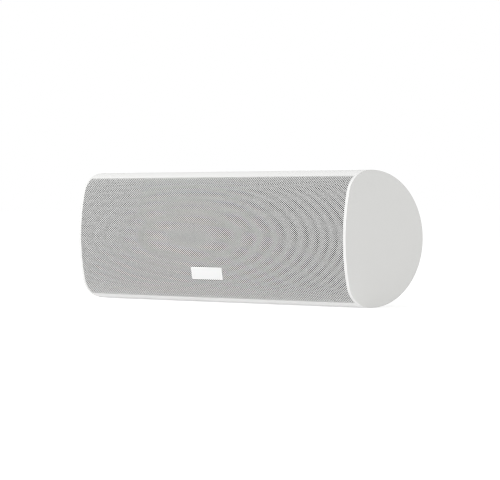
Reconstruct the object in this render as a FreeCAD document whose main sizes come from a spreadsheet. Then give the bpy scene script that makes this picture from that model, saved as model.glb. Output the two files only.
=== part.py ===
import FreeCAD, Part
import math
import os
import Sketcher

# Centre channel speaker: a D-shaped extruded tube, closed by two end plates, with a bent
# perforated grille in front of two woofers and a folded-ribbon tweeter.
# X runs along the length, the front faces -Y and Z is up. The origin is the middle of the
# footprint, on the surface that the feet stand on.

doc = FreeCAD.newDocument("centre_speaker")
sheet = doc.addObject("Spreadsheet::Sheet", "dims")
rows = []
nodes = []


# Sizes


class Size:
    # a length that knows its value and the formula that ties it to the sheet
    def __init__(self, value, text):
        self.value = float(value)
        self.text = text

    def __add__(self, other):
        other = as_size(other)
        return Size(self.value + other.value, "(%s + %s)" % (self.text, other.text))

    def __sub__(self, other):
        other = as_size(other)
        return Size(self.value - other.value, "(%s - %s)" % (self.text, other.text))

    def __mul__(self, other):
        other = as_size(other)
        return Size(self.value * other.value, "(%s * %s)" % (self.text, other.text))

    def __truediv__(self, other):
        other = as_size(other)
        return Size(self.value / other.value, "(%s / %s)" % (self.text, other.text))

    def __neg__(self):
        return Size(-self.value, "(0 - %s)" % self.text)


def as_size(number):
    if isinstance(number, Size):
        return number
    return Size(number, repr(float(number)))


def root(size):
    return Size(math.sqrt(size.value), "sqrt(%s)" % size.text)


def dim(alias, value):
    rows.append(alias)
    cell = "B%d" % len(rows)
    sheet.set("A%d" % len(rows), alias)
    sheet.set(cell, str(value))
    sheet.setAlias(cell, alias)
    return Size(value, "dims." + alias)


# cabinet section and length
tube_radius = dim("tube_radius", 70)
front_reach = dim("front_reach", 35.5)
front_radius = dim("front_radius", 229)
corner_radius = dim("corner_radius", 28)
cabinet_length = dim("cabinet_length", 454)
shell_wall = dim("shell_wall", 3)
upper_lip_reach = dim("upper_lip_reach", 20)
lower_lip_reach = dim("lower_lip_reach", 18.6)
plate_thickness = dim("plate_thickness", 3.9)
plate_round = dim("plate_round", 0.6)
spigot_clearance = dim("spigot_clearance", 0.2)
spigot_wall = dim("spigot_wall", 3)
spigot_depth = dim("spigot_depth", 6)
spigot_half_height = dim("spigot_half_height", 54)

# grille, cloth and badge
grille_clearance = dim("grille_clearance", 0.3)
grille_sheet = dim("grille_sheet", 1)
grille_flange = dim("grille_flange", 4.5)
hole_pitch = dim("hole_pitch", 13.5)
hole_web = dim("hole_web", 4.4)
hole_margin = dim("hole_margin", 3)
cloth_thickness = dim("cloth_thickness", 0.5)
badge_width = dim("badge_width", 52)
badge_height = dim("badge_height", 13)
badge_thickness = dim("badge_thickness", 1)
badge_drop = dim("badge_drop", 38.5)

# front baffle
baffle_setback = dim("baffle_setback", 19.5)
baffle_thickness = dim("baffle_thickness", 12)
baffle_clearance = dim("baffle_clearance", 0.3)
rib_cover = dim("rib_cover", 5)
rib_thickness = dim("rib_thickness", 4)
baffle_screw_inset = dim("baffle_screw_inset", 3.4)

# woofers
woofer_end_gap = dim("woofer_end_gap", 87)
woofer_edge_gap = dim("woofer_edge_gap", 4)
gasket_thickness = dim("gasket_thickness", 1)
flange_width = dim("flange_width", 8.5)
flange_margin = dim("flange_margin", 0.5)
flange_thickness = dim("flange_thickness", 4)
basket_wall = dim("basket_wall", 2.5)
basket_depth = dim("basket_depth", 30)
basket_base_radius = dim("basket_base_radius", 34)
basket_clearance = dim("basket_clearance", 0.5)
window_count = dim("window_count", 6)
window_half_width = dim("window_half_width", 15)
ledge_radius = dim("ledge_radius", 30)
ledge_width = dim("ledge_width", 4)
ledge_height = dim("ledge_height", 4)
surround_lip = dim("surround_lip", 3)
roll_radius = dim("roll_radius", 4)
skin = dim("skin", 0.8)
neck_height = dim("neck_height", 1.6)
neck_clearance = dim("neck_clearance", 1.6)
spider_waves = dim("spider_waves", 7)
spider_rise = dim("spider_rise", 1.2)
coil_radius = dim("coil_radius", 12.6)
former_wall = dim("former_wall", 0.3)
winding_height = dim("winding_height", 10)
winding_wall = dim("winding_wall", 0.6)
former_length = dim("former_length", 19)
coil_gap = dim("coil_gap", 0.45)
dust_cap_radius = dim("dust_cap_radius", 18)
dust_cap_rise = dim("dust_cap_rise", 6)
top_plate_radius = dim("top_plate_radius", 36)
top_plate_thickness = dim("top_plate_thickness", 5)
magnet_radius = dim("magnet_radius", 40)
magnet_bore = dim("magnet_bore", 18)
magnet_thickness = dim("magnet_thickness", 14)
yoke_thickness = dim("yoke_thickness", 5)

# tweeter
face_width = dim("face_width", 76)
face_height = dim("face_height", 100)
face_thickness = dim("face_thickness", 4)
face_corner = dim("face_corner", 6)
face_screw_inset = dim("face_screw_inset", 7)
mouth_width = dim("mouth_width", 30)
mouth_height = dim("mouth_height", 64)
mouth_flare = dim("mouth_flare", 3)
motor_width = dim("motor_width", 46)
motor_height = dim("motor_height", 80)
motor_clearance = dim("motor_clearance", 0.5)
pole_plate_thickness = dim("pole_plate_thickness", 3)
pole_slot_height = dim("pole_slot_height", 4)
pole_slot_pitch = dim("pole_slot_pitch", 7.5)
pole_slot_count = dim("pole_slot_count", 8)
ribbon_height = dim("ribbon_height", 60)
pleat_pitch = dim("pleat_pitch", 2.6)
pleat_depth = dim("pleat_depth", 5.4)
ribbon_fold = dim("ribbon_fold", 0.6)
ribbon_clearance = dim("ribbon_clearance", 0.3)
bar_width = dim("bar_width", 8)
tweeter_yoke_thickness = dim("tweeter_yoke_thickness", 4)
chamber_depth = dim("chamber_depth", 10)
chamber_wall = dim("chamber_wall", 2)

# terminal cup and binding posts
cup_width = dim("cup_width", 72)
cup_height = dim("cup_height", 46)
cup_corner = dim("cup_corner", 5)
cup_depth = dim("cup_depth", 26)
cup_wall = dim("cup_wall", 2.5)
cup_rim = dim("cup_rim", 9)
cup_flange = dim("cup_flange", 2)
cup_clearance = dim("cup_clearance", 0.3)
cup_screw_length = dim("cup_screw_length", 8)
post_spacing = dim("post_spacing", 30)
post_radius = dim("post_radius", 3.9)
post_collar_radius = dim("post_collar_radius", 7)
post_collar = dim("post_collar", 3)
post_length = dim("post_length", 21)
stud_radius = dim("stud_radius", 3)
stud_clearance = dim("stud_clearance", 0.1)
stud_tail = dim("stud_tail", 1.5)
socket_radius = dim("socket_radius", 2.05)
socket_depth = dim("socket_depth", 14)
wire_hole_radius = dim("wire_hole_radius", 1.5)
running_clearance = dim("running_clearance", 0.06)
seat_clearance = dim("seat_clearance", 0.3)
clamp_ring_thickness = dim("clamp_ring_thickness", 1.5)
knob_radius = dim("knob_radius", 8)
knob_length = dim("knob_length", 15)
knob_chamfer = dim("knob_chamfer", 0.9)
knob_flutes = dim("knob_flutes", 12)
flute_radius = dim("flute_radius", 1.2)
flute_depth = dim("flute_depth", 0.6)
nut_width = dim("nut_width", 10)
nut_height = dim("nut_height", 4)

# crossover
board_width = dim("board_width", 92)
board_height = dim("board_height", 74)
board_thickness = dim("board_thickness", 1.6)
coil_outer = dim("coil_outer", 14)
coil_inner = dim("coil_inner", 6)
coil_height = dim("coil_height", 12)
capacitor_radius = dim("capacitor_radius", 7.5)
capacitor_length = dim("capacitor_length", 32)
resistor_length = dim("resistor_length", 24)
resistor_width = dim("resistor_width", 9)
part_edge_gap = dim("part_edge_gap", 4)

# inner leads
lead_radius = dim("lead_radius", 1.6)
lead_inset = dim("lead_inset", 8)
lead_drop = dim("lead_drop", 8)
lead_sag = dim("lead_sag", 12)
lead_exit = dim("lead_exit", 13)
lead_clearance = dim("lead_clearance", 0.3)

# screws, inserts and feet
screw_radius = dim("screw_radius", 1.8)
screw_head_radius = dim("screw_head_radius", 3.2)
screw_head_height = dim("screw_head_height", 2.2)
screw_grip = dim("screw_grip", 9)
screw_clearance = dim("screw_clearance", 0.1)
insert_spacing = dim("insert_spacing", 180)
insert_radius = dim("insert_radius", 4.5)
insert_bore = dim("insert_bore", 2.5)
insert_length = dim("insert_length", 12)
insert_rim = dim("insert_rim", 1.5)
insert_rim_height = dim("insert_rim_height", 1)
foot_gap = dim("foot_gap", 0.4)
foot_front = dim("foot_front", 8)
foot_depth = dim("foot_depth", 42)
foot_length = dim("foot_length", 36)
foot_corner = dim("foot_corner", 6)
foot_end_gap = dim("foot_end_gap", 60)
doc.recompute()

# the tube's axis, from which every piece is placed
axis_y = (front_reach - tube_radius - cup_flange - screw_head_height) / 2
axis_z = tube_radius + foot_gap

# centres of the round corners, tangent to the back circle and to the front arc
front_centre = front_radius - front_reach
back_span = tube_radius - corner_radius
front_span = front_radius - corner_radius
corner_y = (back_span * back_span - front_span * front_span + front_centre * front_centre) / front_centre / 2
corner_z = root(back_span * back_span - corner_y * corner_y)


def corner_height(inset, reach):
    # half height of the section, drawn in by inset, at a distance reach ahead of the axis
    radius = corner_radius - inset
    ahead = reach + corner_y
    return corner_z + root(radius * radius - ahead * ahead)


shell_length = cabinet_length - plate_thickness * 2
mouth_half = corner_height(shell_wall, upper_lip_reach)
baffle_half = mouth_half - baffle_clearance
baffle_front = baffle_setback - front_reach
baffle_back = baffle_front + baffle_thickness
baffle_length = shell_length - baffle_clearance * 2
woofer_x = cabinet_length / 2 - woofer_end_gap
woofer_datum = baffle_front - gasket_thickness
rim_radius = baffle_half - woofer_edge_gap
basket_radius = rim_radius - flange_width
basket_hole = basket_radius + basket_clearance
opening_radius = basket_radius - basket_wall
woofer_screw_radius = rim_radius - screw_head_radius - flange_margin
cup_back = tube_radius + cup_flange
cup_floor = cup_back - cup_depth
board_y = cup_floor - cup_wall - nut_height - board_thickness
gap_depth = pleat_depth + ribbon_clearance * 2
chamber_y = baffle_front + pole_plate_thickness + gap_depth + tweeter_yoke_thickness
chamber_back = chamber_y + chamber_depth
screw_hole = screw_radius + screw_clearance
clear_span = tube_radius * 2      # past every side of the section


# Building blocks


def bind(thing, name, size):
    size = as_size(size)
    thing.setExpression(name, size.text)
    return thing


def place(thing, x=0, y=0, z=0):
    # positions are counted from the tube's axis at mid-length
    bind(thing, "Placement.Base.x", x)
    bind(thing, "Placement.Base.y", axis_y + y)
    bind(thing, "Placement.Base.z", axis_z + z)
    return thing


def keep(thing, label):
    thing.Label = label
    nodes.append(thing)
    return thing


def make_body(label, x=0, y=0, z=0):
    body = doc.addObject("PartDesign::Body", label)
    body.AllowCompound = True
    return place(body, x, y, z)


def origin_item(body, role):
    return [item for item in body.Origin.OriginFeatures if item.Role == role][0]


def make_sketch(body, role, offset=None):
    sketch = body.newObject("Sketcher::SketchObject", "outline")
    sketch.AttachmentSupport = [(origin_item(body, role), "")]
    sketch.MapMode = "FlatFace"
    if offset is not None:
        bind(sketch, "AttachmentOffset.Base.z", offset)
    return sketch


def pin(sketch, geometry, point, name, size):
    size = as_size(size)
    number = sketch.addConstraint(Sketcher.Constraint(name, -1, 1, geometry, point, size.value))
    sketch.setExpression("Constraints[%d]" % number, size.text)


def fix_point(sketch, geometry, point, x, y):
    pin(sketch, geometry, point, "DistanceX", x)
    pin(sketch, geometry, point, "DistanceY", y)


def tie(sketch, name, geometry, size):
    number = sketch.addConstraint(Sketcher.Constraint(name, geometry, as_size(size).value))
    sketch.setExpression("Constraints[%d]" % number, as_size(size).text)


def flat(x, y):
    return FreeCAD.Vector(as_size(x).value, as_size(y).value, 0)


def arc_centre(start, end, centre_x, centre_y):
    # the centre lies as far from start as from end, and one of its coordinates is given
    middle = (start + end) * 0.5
    along = end - start
    if centre_x is not None:
        x = as_size(centre_x).value
        return FreeCAD.Vector(x, middle.y - (x - middle.x) * along.x / along.y, 0)
    y = as_size(centre_y).value
    return FreeCAD.Vector(middle.x - (y - middle.y) * along.y / along.x, y, 0)


def draw(sketch, points):
    # a closed outline; a point is (x, y) or (x, y, turn, centre x, centre y), where turn +1 or -1
    # joins it to the next point by an arc that runs anticlockwise or clockwise
    joints = []
    for index, point in enumerate(points):
        start = flat(point[0], point[1])
        following = points[(index + 1) % len(points)]
        end = flat(following[0], following[1])
        if len(point) == 2:
            number = sketch.addGeometry(Part.LineSegment(start, end))
            joints.append((number, 1, 2))
            continue
        turn, centre_x, centre_y = point[2:]
        centre = arc_centre(start, end, centre_x, centre_y)
        first, last = (start, end) if turn > 0 else (end, start)
        circle = Part.Circle(centre, FreeCAD.Vector(0, 0, 1), (start - centre).Length)
        angles = [math.atan2(spot.y - centre.y, spot.x - centre.x) for spot in (first, last)]
        if angles[1] < angles[0]:
            angles[1] += 2 * math.pi
        number = sketch.addGeometry(Part.ArcOfCircle(circle, angles[0], angles[1]))
        joints.append((number, 1, 2) if turn > 0 else (number, 2, 1))
        if centre_x is not None:
            pin(sketch, number, 3, "DistanceX", centre_x)
        else:
            pin(sketch, number, 3, "DistanceY", centre_y)
    for index, point in enumerate(points):
        number, begins, ends = joints[index]
        before = joints[index - 1]
        sketch.addConstraint(Sketcher.Constraint("Coincident", before[0], before[2], number, begins))
        fix_point(sketch, number, begins, point[0], point[1])
    return sketch


def draw_rectangle(sketch, width, height, x=0, y=0):
    left = as_size(x) - as_size(width) / 2
    right = as_size(x) + as_size(width) / 2
    low = as_size(y) - as_size(height) / 2
    high = as_size(y) + as_size(height) / 2
    return draw(sketch, [(left, low), (right, low), (right, high), (left, high)])


def draw_rounded(sketch, width, height, corner):
    w = width / 2
    v = height / 2
    a = w - corner
    b = v - corner
    return draw(
        sketch,
        [
            (-a, -v),
            (a, -v, 1, a, None),
            (w, -b),
            (w, b, 1, a, None),
            (a, v),
            (-a, v, 1, -a, None),
            (-w, b),
            (-w, -b, 1, -a, None),
        ],
    )


def draw_circle(sketch, radius, x=0, y=0):
    circle = Part.Circle(flat(x, y), FreeCAD.Vector(0, 0, 1), as_size(radius).value)
    number = sketch.addGeometry(circle)
    tie(sketch, "Radius", number, radius)
    fix_point(sketch, number, 3, x, y)
    return sketch


def draw_section(sketch, inset):
    # the D-shaped section drawn in by inset: back circle, two corners and front arc, all tangent
    inset = as_size(inset)
    radii = [tube_radius - inset, corner_radius - inset, front_radius - inset, corner_radius - inset]
    centres = [
        (as_size(0), as_size(0)),
        (corner_y, corner_z),
        (front_centre, as_size(0)),
        (corner_y, -corner_z),
    ]
    back = math.atan2(corner_z.value, corner_y.value)
    front = math.atan2(corner_z.value, corner_y.value - front_centre.value)
    turns = [(-back, back), (back, front), (front, 2 * math.pi - front), (-front, -back)]
    for (y, z), radius, (begin, end) in zip(centres, radii, turns):
        circle = Part.Circle(flat(y, z), FreeCAD.Vector(0, 0, 1), radius.value)
        number = sketch.addGeometry(Part.ArcOfCircle(circle, begin, end))
        tie(sketch, "Radius", number, radius)
    fix_point(sketch, 0, 3, 0, 0)
    fix_point(sketch, 2, 3, front_centre, 0)
    for number in range(4):
        sketch.addConstraint(Sketcher.Constraint("Tangent", number, 2, (number + 1) % 4, 1))
    return sketch


def draw_stepped(sketch, upper_reach, lower_reach, far):
    # everything between far and a line that lies upper_reach ahead of the axis in the upper half
    # and lower_reach ahead of it in the lower half
    points = [
        (-upper_reach, 0),
        (-upper_reach, clear_span),
        (far, clear_span),
        (far, -clear_span),
        (-lower_reach, -clear_span),
        (-lower_reach, 0),
    ]
    return draw(sketch, points if far.value < 0 else list(reversed(points)))


def add_pad(body, sketch, length, symmetric=False, back=False):
    pad = body.newObject("PartDesign::Pad", "pad")
    pad.Profile = sketch
    bind(pad, "Length", length)
    pad.SideType = "Symmetric" if symmetric else "One side"
    pad.Reversed = back
    return pad


def cut_through(body, sketch):
    pocket = body.newObject("PartDesign::Pocket", "cut")
    pocket.Profile = sketch
    pocket.Type = "ThroughAll"
    pocket.SideType = "Symmetric"
    return pocket


def cut_to(body, sketch, depth):
    pocket = body.newObject("PartDesign::Pocket", "recess")
    pocket.Profile = sketch
    bind(pocket, "Length", depth)
    return pocket


def ring_of(body, feature, role, count):
    pattern = body.newObject("PartDesign::PolarPattern", "ring")
    pattern.Originals = [feature]
    pattern.Axis = (origin_item(body, role), [""])
    pattern.Angle = 360
    bind(pattern, "Occurrences", count)
    body.Tip = pattern
    return pattern


def same(one, other):
    return abs(one - other) < 1e-6


def soften(body, feature, kind, property_name, size, on_edge):
    # a fillet or chamfer along each edge whose ends all pass the test
    doc.recompute()
    names = []
    for number, edge in enumerate(feature.Shape.Edges):
        if all(on_edge(vertex.Point) for vertex in edge.Vertexes):
            names.append("Edge%d" % (number + 1))
    softened = body.newObject("PartDesign::" + kind, "softened")
    softened.Base = (feature, names)
    bind(softened, property_name, size)
    body.Tip = softened
    return softened


def turn_piece(label, points, x=0, y=0, z=0):
    # a body turned about an axis along Y; points are (radius, depth)
    body = make_body(label, x, y, z)
    sketch = draw(make_sketch(body, "XY_Plane"), points)
    turned = body.newObject("PartDesign::Revolution", "turned")
    turned.Profile = sketch
    turned.ReferenceAxis = (sketch, ["V_Axis"])
    turned.Angle = 360
    return body


def tube_points(inner, outer, begin, end):
    return [(inner, begin), (outer, begin), (outer, end), (inner, end)]


def plate_piece(label, width, height, thickness, x=0, y=0, z=0, corner=None):
    # a flat plate across Y, whose front face is at y
    body = make_body(label, x, y, z)
    sketch = make_sketch(body, "XZ_Plane")
    if corner is None:
        draw_rectangle(sketch, width, height)
    else:
        draw_rounded(sketch, width, height, corner)
    add_pad(body, sketch, thickness, back=True)
    return body


def add_box(name, low, span):
    box = doc.addObject("Part::Box", name)
    for side, size in zip(("Length", "Width", "Height"), span):
        bind(box, side, size)
    return place(box, *low)


def add_rod(name, radius, length, along, x=0, y=0, z=0):
    rod = doc.addObject("Part::Cylinder", name)
    bind(rod, "Radius", radius)
    bind(rod, "Height", length)
    turns = {"x": (FreeCAD.Vector(0, 1, 0), 90), "y": (FreeCAD.Vector(1, 0, 0), -90)}
    if along in turns:
        rod.Placement = FreeCAD.Placement(FreeCAD.Vector(0, 0, 0), FreeCAD.Rotation(*turns[along]))
    return place(rod, x, y, z)


def add_cut(name, base, tool):
    cut = doc.addObject("Part::Cut", name)
    cut.Base = base
    cut.Tool = tool
    return cut


def add_common(name, base, tool):
    common = doc.addObject("Part::Common", name)
    common.Base = base
    common.Tool = tool
    return common


def add_fuse(name, pieces):
    fuse = doc.addObject("Part::MultiFuse", name)
    fuse.Shapes = pieces
    return fuse


def add_group(name, pieces):
    group = doc.addObject("Part::Compound", name)
    group.Links = pieces
    return group


def add_screw(name, length, x, y, z, inward=1):
    # a pan-head screw along Y; y is the face under its head and inward the way its shank points
    head_y = y - screw_head_height if inward > 0 else y
    shank_y = y if inward > 0 else y - length
    head = add_rod(name + "_head", screw_head_radius, screw_head_height, "y", x, head_y, z)
    shank = add_rod(name + "_shank", screw_radius, length, "y", x, shank_y, z)
    return add_fuse(name, [head, shank])


def mirrored(x):
    return (("left", -x), ("right", x))


# Cabinet


def make_shell():
    body = make_body("cabinet_shell")
    add_pad(body, draw_section(make_sketch(body, "YZ_Plane"), 0), shell_length, symmetric=True)
    cut_through(body, draw_section(make_sketch(body, "YZ_Plane"), shell_wall))
    mouth = draw_stepped(make_sketch(body, "YZ_Plane"), upper_lip_reach, lower_lip_reach, -clear_span)
    cut_through(body, mouth)
    ribs = make_sketch(body, "YZ_Plane")
    rib_low = mouth_half - rib_cover
    rib_high = tube_radius - shell_wall / 2
    for side in (-1, 1):
        low = rib_low * side
        high = rib_high * side
        corners = [(baffle_back, low), (baffle_back + rib_thickness, low)]
        draw(ribs, corners + [(corners[1][0], high), (corners[0][0], high)])
    add_pad(body, ribs, shell_length, symmetric=True)
    screw_holes = make_sketch(body, "XZ_Plane", -baffle_back)
    for x, z in baffle_screw_spots():
        draw_circle(screw_holes, screw_radius, x, z)
    cut_to(body, screw_holes, rib_thickness)
    opening = make_sketch(body, "XZ_Plane")
    margin = (cup_wall + cup_clearance) * 2
    draw_rounded(opening, cup_width + margin, cup_height + margin, cup_corner + cup_wall + cup_clearance)
    for side, x in mirrored(cup_screw_x):
        draw_circle(opening, screw_hole, x, 0)
    for side, x in mirrored(insert_spacing / 2):
        draw_circle(opening, insert_radius, x, 0)
    cut_to(body, opening, tube_radius * 2)
    keep(body, "cabinet_shell")


def make_end_plate(side, sign):
    label = side + "_end_plate"
    body = make_body(label, shell_length / 2 * sign)
    pad = add_pad(body, draw_section(make_sketch(body, "YZ_Plane"), 0), plate_thickness, back=sign < 0)
    outer = tube_radius - shell_wall - spigot_clearance
    inner = outer - spigot_wall
    reach = [root(r * r - spigot_half_height * spigot_half_height) for r in (outer, inner)]
    spigot = draw(
        make_sketch(body, "YZ_Plane"),
        [
            (reach[0], -spigot_half_height, 1, 0, None),
            (reach[0], spigot_half_height),
            (reach[1], spigot_half_height, -1, 0, None),
            (reach[1], -spigot_half_height),
        ],
    )
    spigot_pad = add_pad(body, spigot, spigot_depth, back=sign > 0)
    outside = plate_thickness.value * sign
    soften(body, spigot_pad, "Fillet", "Radius", plate_round, lambda point: same(point.x, outside))
    keep(body, label)


def bent_sheet(label, inset, thickness, setback, length):
    # the section's wall from setback ahead of the two lips, as a bent sheet
    body = make_body(label)
    add_pad(body, draw_section(make_sketch(body, "YZ_Plane"), inset), length, symmetric=True)
    cut_through(body, draw_section(make_sketch(body, "YZ_Plane"), as_size(inset) + thickness))
    behind = make_sketch(body, "YZ_Plane")
    draw_stepped(behind, upper_lip_reach + setback, lower_lip_reach + setback, clear_span)
    cut_through(body, behind)
    return body


def sheet_spot(run):
    # point and outward normal on the front of the section, at an arc length run from its middle
    side = 1 if run >= 0 else -1
    tangent = math.atan2(corner_z.value, front_centre.value - corner_y.value)
    straightest = front_radius.value * tangent
    if abs(run) <= straightest:
        angle = abs(run) / front_radius.value
        y = front_centre.value - front_radius.value * math.cos(angle)
        z = front_radius.value * math.sin(angle)
    else:
        angle = tangent + (abs(run) - straightest) / corner_radius.value
        y = corner_y.value - corner_radius.value * math.cos(angle)
        z = corner_z.value + corner_radius.value * math.sin(angle)
    normal = FreeCAD.Vector(0, -math.cos(angle), side * math.sin(angle))
    return FreeCAD.Vector(0, y, side * z), normal


def sheet_run(reach):
    # arc length from the middle of the front to where the section is reach ahead of the axis
    tangent = math.atan2(corner_z.value, front_centre.value - corner_y.value)
    turn = math.acos((reach.value + corner_y.value) / corner_radius.value)
    return front_radius.value * tangent + corner_radius.value * (turn - tangent)


def make_perforation(length, reach):
    # hexagonal holes on a 60 degree stagger, columns upright, each punched square to the sheet
    across = hole_pitch.value - hole_web.value
    corner = across / math.sqrt(3)
    column_pitch = hole_pitch.value * math.sqrt(3) / 2
    depth = grille_sheet.value * 3
    reach_x = length.value / 2 - hole_margin.value - corner
    reach_run = sheet_run(reach) - hole_margin.value - grille_sheet.value - across / 2
    columns = int(reach_x // column_pitch)
    prisms = []
    for column in range(-columns, columns + 1):
        shift = hole_pitch.value / 2 if column % 2 else 0
        steps = int((reach_run + shift) // hole_pitch.value)
        for step in range(-steps, steps + 1):
            run = step * hole_pitch.value - shift
            if abs(run) > reach_run:
                continue
            spot, normal = sheet_spot(run)
            upward = normal.cross(FreeCAD.Vector(1, 0, 0))
            centre = spot + FreeCAD.Vector(column * column_pitch, 0, 0) + normal * (depth / 2)
            corners = []
            for turn in range(7):
                angle = math.radians(60 * turn)
                corners.append(
                    centre
                    + FreeCAD.Vector(corner * math.cos(angle), 0, 0)
                    + upward * (corner * math.sin(angle))
                )
            prisms.append(Part.Face(Part.makePolygon(corners)).extrude(normal * -depth))
    holes = doc.addObject("Part::Feature", "perforation")
    holes.Shape = Part.makeCompound(prisms)
    return place(holes)


def make_grille():
    length = shell_length - grille_clearance * 2
    body = bent_sheet("grille_blank", 0, grille_sheet, grille_clearance, length)
    flanges = make_sketch(body, "YZ_Plane")
    for side, lip_reach in ((-1, lower_lip_reach), (1, upper_lip_reach)):
        reach = lip_reach + grille_clearance
        high = corner_height(grille_sheet, reach)
        tip = (high - grille_flange) * side
        draw(
            flanges,
            [
                (-reach - grille_sheet, tip),
                (-reach, tip),
                (-reach, high * side),
                (-reach - grille_sheet, high * side),
            ],
        )
    add_pad(body, flanges, length, symmetric=True)
    holes = make_perforation(length, upper_lip_reach + grille_clearance)
    keep(add_cut("grille", body, holes), "grille")
    setback = grille_sheet + grille_clearance * 2
    keep(bent_sheet("grille_cloth", grille_sheet, cloth_thickness, setback, length), "grille_cloth")


def make_badge():
    centre = front_centre
    left = -badge_width / 2
    outer = add_rod("badge_outer", front_radius + badge_thickness, badge_width, "x", left, centre)
    inner = add_rod("badge_inner", front_radius, badge_width, "x", left, centre)
    curved = add_cut("badge_curve", outer, inner)
    low = (left, -front_reach - badge_thickness, -badge_drop - badge_height / 2)
    block = add_box("badge_block", low, (badge_width, front_reach, badge_height))
    keep(add_common("badge_plate", block, curved), "badge_plate")


def make_foot(side, x):
    # a moulded wedge behind the lowest line of the tube, hollowed to its round
    block = make_body(side + "_foot_block", x, foot_front + foot_depth / 2, -axis_z)
    base = draw_rounded(make_sketch(block, "XY_Plane"), foot_length, foot_depth, foot_corner)
    add_pad(block, base, tube_radius)
    tube = add_rod(side + "_foot_tube", tube_radius, cabinet_length, "x", -cabinet_length / 2)
    keep(add_cut(side + "_foot", block, tube), side + "_foot")


def make_inserts():
    pieces = []
    tube = add_rod("insert_tube", tube_radius, cabinet_length, "x", -cabinet_length / 2)
    inner_end = tube_radius - insert_length
    length = insert_length + insert_rim_height
    for side, x in mirrored(insert_spacing / 2):
        rim = add_rod(side + "_rim_blank", insert_radius + insert_rim, length, "y", x, inner_end)
        collar = add_cut(side + "_rim", rim, tube)
        stem = add_rod(side + "_stem", insert_radius, length, "y", x, inner_end)
        bore = add_rod(side + "_bore", insert_bore, clear_span, "y", x)
        blank = add_fuse(side + "_insert_blank", [collar, stem])
        pieces.append(add_cut(side + "_insert", blank, bore))
    keep(add_group("wall_inserts", pieces), "wall_inserts")


# Front baffle


def baffle_screw_spots():
    inner = (face_width / 2 + woofer_x - rim_radius) / 2
    outer = (woofer_x + rim_radius + baffle_length / 2) / 2
    height = baffle_half - baffle_screw_inset
    return [(x * side, height * up) for x in (inner, outer) for side in (-1, 1) for up in (-1, 1)]


def woofer_screw_spots():
    step = woofer_screw_radius / math.sqrt(2)
    return [(step * side, step * up) for side in (-1, 1) for up in (-1, 1)]


def face_screw_spots():
    x = face_width / 2 - face_screw_inset
    z = face_height / 2 - face_screw_inset
    return [(x * side, z * up) for side in (-1, 1) for up in (-1, 1)]


def make_baffle():
    body = plate_piece("front_baffle", baffle_length, baffle_half * 2, baffle_thickness, y=baffle_front)
    holes = make_sketch(body, "XZ_Plane")
    draw_rectangle(holes, motor_width + motor_clearance * 2, motor_height + motor_clearance * 2)
    for side, x in mirrored(woofer_x):
        draw_circle(holes, basket_hole, x, 0)
        for dx, dz in woofer_screw_spots():
            draw_circle(holes, screw_radius, x + dx, dz)
    for x, z in face_screw_spots() + baffle_screw_spots():
        draw_circle(holes, screw_radius, x, z)
    cut_through(body, holes)
    keep(body, "front_baffle")
    screws = []
    for number, (x, z) in enumerate(baffle_screw_spots()):
        length = baffle_thickness + rib_thickness
        screws.append(add_screw("baffle_screw_%d" % number, length, x, baffle_front, z))
    keep(add_group("baffle_screws", screws), "baffle_screws")


# Woofers


def make_basket(label, x):
    inside = basket_depth - basket_wall
    ledge_inner = ledge_radius - ledge_width
    throat = coil_radius + former_wall + winding_wall + coil_gap * 2
    body = turn_piece(
        label,
        [
            (opening_radius, -flange_thickness),
            (rim_radius, -flange_thickness),
            (rim_radius, 0),
            (basket_radius, 0),
            (basket_base_radius, basket_depth),
            (throat, basket_depth),
            (throat, inside),
            (ledge_inner, inside),
            (ledge_inner, inside - ledge_height),
            (ledge_radius, inside - ledge_height),
            (ledge_radius, inside),
            (basket_base_radius - basket_wall, inside),
            (opening_radius, 0),
        ],
        x,
        woofer_datum,
    )
    window = make_sketch(body, "XZ_Plane")
    low = basket_base_radius + basket_wall / 2
    high = opening_radius - basket_wall / 2
    draw_rectangle(window, high - low, window_half_width * 2, (high + low) / 2, 0)
    ring_of(body, cut_through(body, window), "Y_Axis", window_count)
    holes = make_sketch(body, "XZ_Plane")
    for dx, dz in woofer_screw_spots():
        draw_circle(holes, screw_hole, dx, dz)
    body.Tip = cut_through(body, holes)
    keep(body, label)


def make_gasket(label, x):
    body = turn_piece(label, tube_points(basket_hole, rim_radius, 0, gasket_thickness), x, woofer_datum)
    holes = make_sketch(body, "XZ_Plane")
    for dx, dz in woofer_screw_spots():
        draw_circle(holes, screw_hole, dx, dz)
    cut_through(body, holes)
    keep(body, label)


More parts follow.
